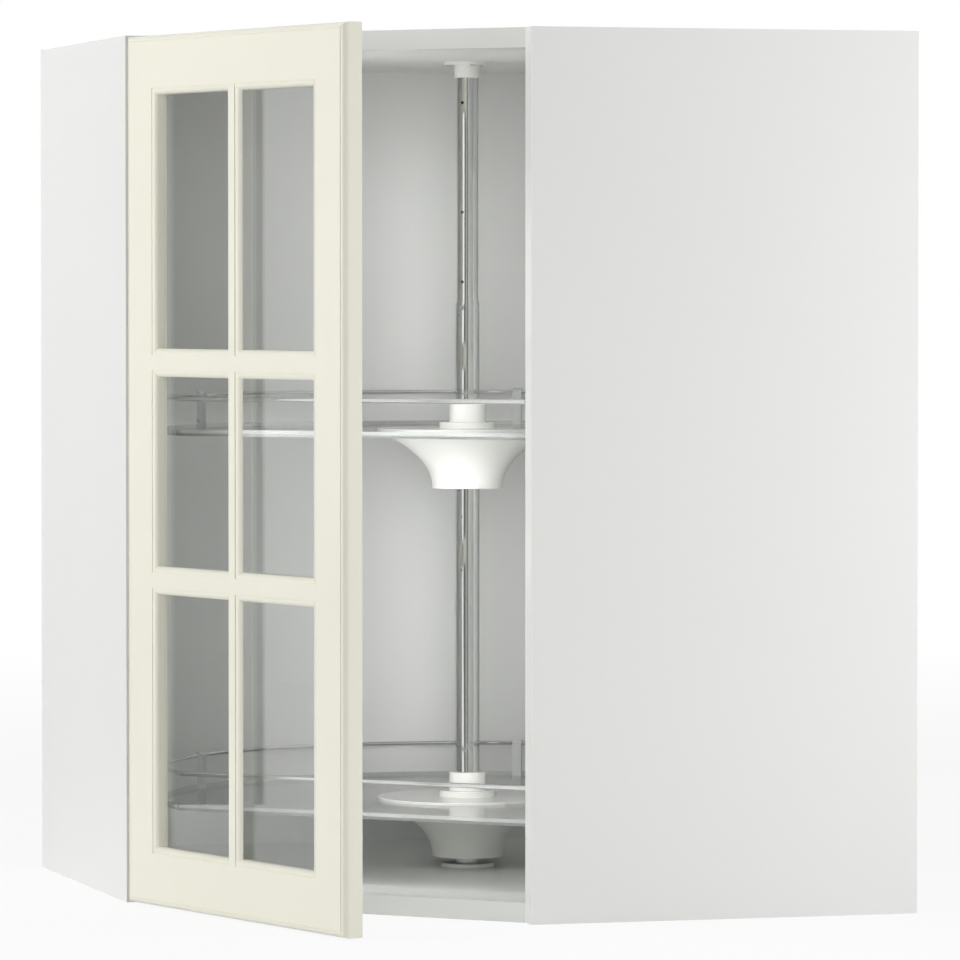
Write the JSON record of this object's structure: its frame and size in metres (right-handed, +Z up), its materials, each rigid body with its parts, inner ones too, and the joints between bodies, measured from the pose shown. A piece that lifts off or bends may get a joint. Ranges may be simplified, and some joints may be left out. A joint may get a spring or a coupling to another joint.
{
  "type": "corner carousel cabinet",
  "caption": "Wall-hung corner cabinet with a diagonal glazed framed door and round railed trays that revolve on a telescopic post.",
  "frame": {"origin": "the room corner at the level of the cabinet's underside, where both wall faces meet", "axes": "+Z up; the left back panel lies on the wall plane x = 0 and runs along -Y; the right back panel lies on the wall plane y = 0 and runs along +X; the door looks along +X -Y"},
  "size_m": [0.7482, 0.6661, 0.8],
  "materials": {
    "white_laminate": "white melamine laminate, fine satin grain",
    "back_board": "white faced hardboard",
    "door_paint": "cream satin lacquer",
    "door_glass": "clear polished float glass",
    "clear_plastic": "clear moulded plastic, lightly frosted",
    "white_plastic": "white moulded plastic",
    "chrome": "polished chrome plate",
    "nickel_plate": "satin nickel plate",
    "zinc_steel": "bright zinc plate",
    "soft_clear": "translucent soft pad",
    "dowel_wood": "bare beech"
  },
  "bodies": {
    "cabinet": {"left_side_panel": "white_laminate", "right_side_panel": "white_laminate", "top_panel": "white_laminate", "bottom_panel": "white_laminate", "left_back_panel": "back_board", "right_back_panel": "back_board", "corner_batten": "white_laminate", "panel_dowels": "dowel_wood", "cam_locks": "zinc_steel", "wall_plates": "zinc_steel", "wall_plate_screws": "zinc_steel", "hinge_plates": "nickel_plate", "hinge_arms": "nickel_plate", "hinge_plate_screws": "zinc_steel", "top_bracket": "white_plastic", "top_bracket_screws": "zinc_steel", "inner_tube": "chrome", "outer_tube": "chrome", "base_plate": "white_plastic", "base_plate_screws": "zinc_steel", "lower_support_collar": "white_plastic", "upper_support_collar": "white_plastic", "support_pins": "zinc_steel", "lower_glide_washer": "white_plastic", "upper_glide_washer": "white_plastic"},
    "hinge_links": {"hinge_links": "zinc_steel", "hinge_pins": "nickel_plate"},
    "door": {"hinge_cups": "nickel_plate", "hinge_cup_screws": "nickel_plate", "hinge_stile": "door_paint", "free_stile": "door_paint", "top_rail": "door_paint", "bottom_rail": "door_paint", "vertical_bar": "door_paint", "upper_bar": "door_paint", "lower_bar": "door_paint", "door_glass": "door_glass", "glazing_beads": "door_paint", "door_bumpers": "soft_clear"},
    "lock_button": {"lock_button": "zinc_steel"},
    "lower_shelf": {"lower_tray": "clear_plastic", "lower_hub": "white_plastic", "lower_cone": "white_plastic", "lower_rail": "chrome", "lower_rail_posts": "white_plastic", "lower_hub_screws": "zinc_steel"},
    "upper_shelf": {"upper_tray": "clear_plastic", "upper_hub": "white_plastic", "upper_cone": "white_plastic", "upper_rail": "chrome", "upper_rail_posts": "white_plastic", "upper_hub_screws": "zinc_steel"}
  },
  "joints": [
    {"name": "hinge_link_swing", "type": "hinge", "parent": "cabinet", "child": "hinge_links", "pos_m": [0.39195, -0.63623, 0.4], "axis": [0, 0, -1], "range_deg": [-33, 14.7]},
    {"name": "door_swing", "type": "hinge", "parent": "hinge_links", "child": "door", "pos_m": [0.37853, -0.64923, 0.4], "axis": [0, 0, -1], "range_deg": [-43.8, 98.7]},
    {"name": "lower_turn", "type": "hinge", "parent": "cabinet", "child": "lower_shelf", "pos_m": [0.2925, -0.3165, 0.08], "axis": [0, 0, 1], "continuous": true},
    {"name": "upper_turn", "type": "hinge", "parent": "cabinet", "child": "upper_shelf", "pos_m": [0.2925, -0.3165, 0.43], "axis": [0, 0, 1], "continuous": true},
    {"name": "lock_press", "type": "slide", "parent": "cabinet", "child": "lock_button", "axis": [-0.7071, 0.7071, 0], "range_m": [0, 0.002], "stiffness_N_per_m": 400}
  ],
  "couplings": [
    {"joint": "hinge_link_swing", "follows": "door_swing", "ratio": -0.33333}
  ]
}
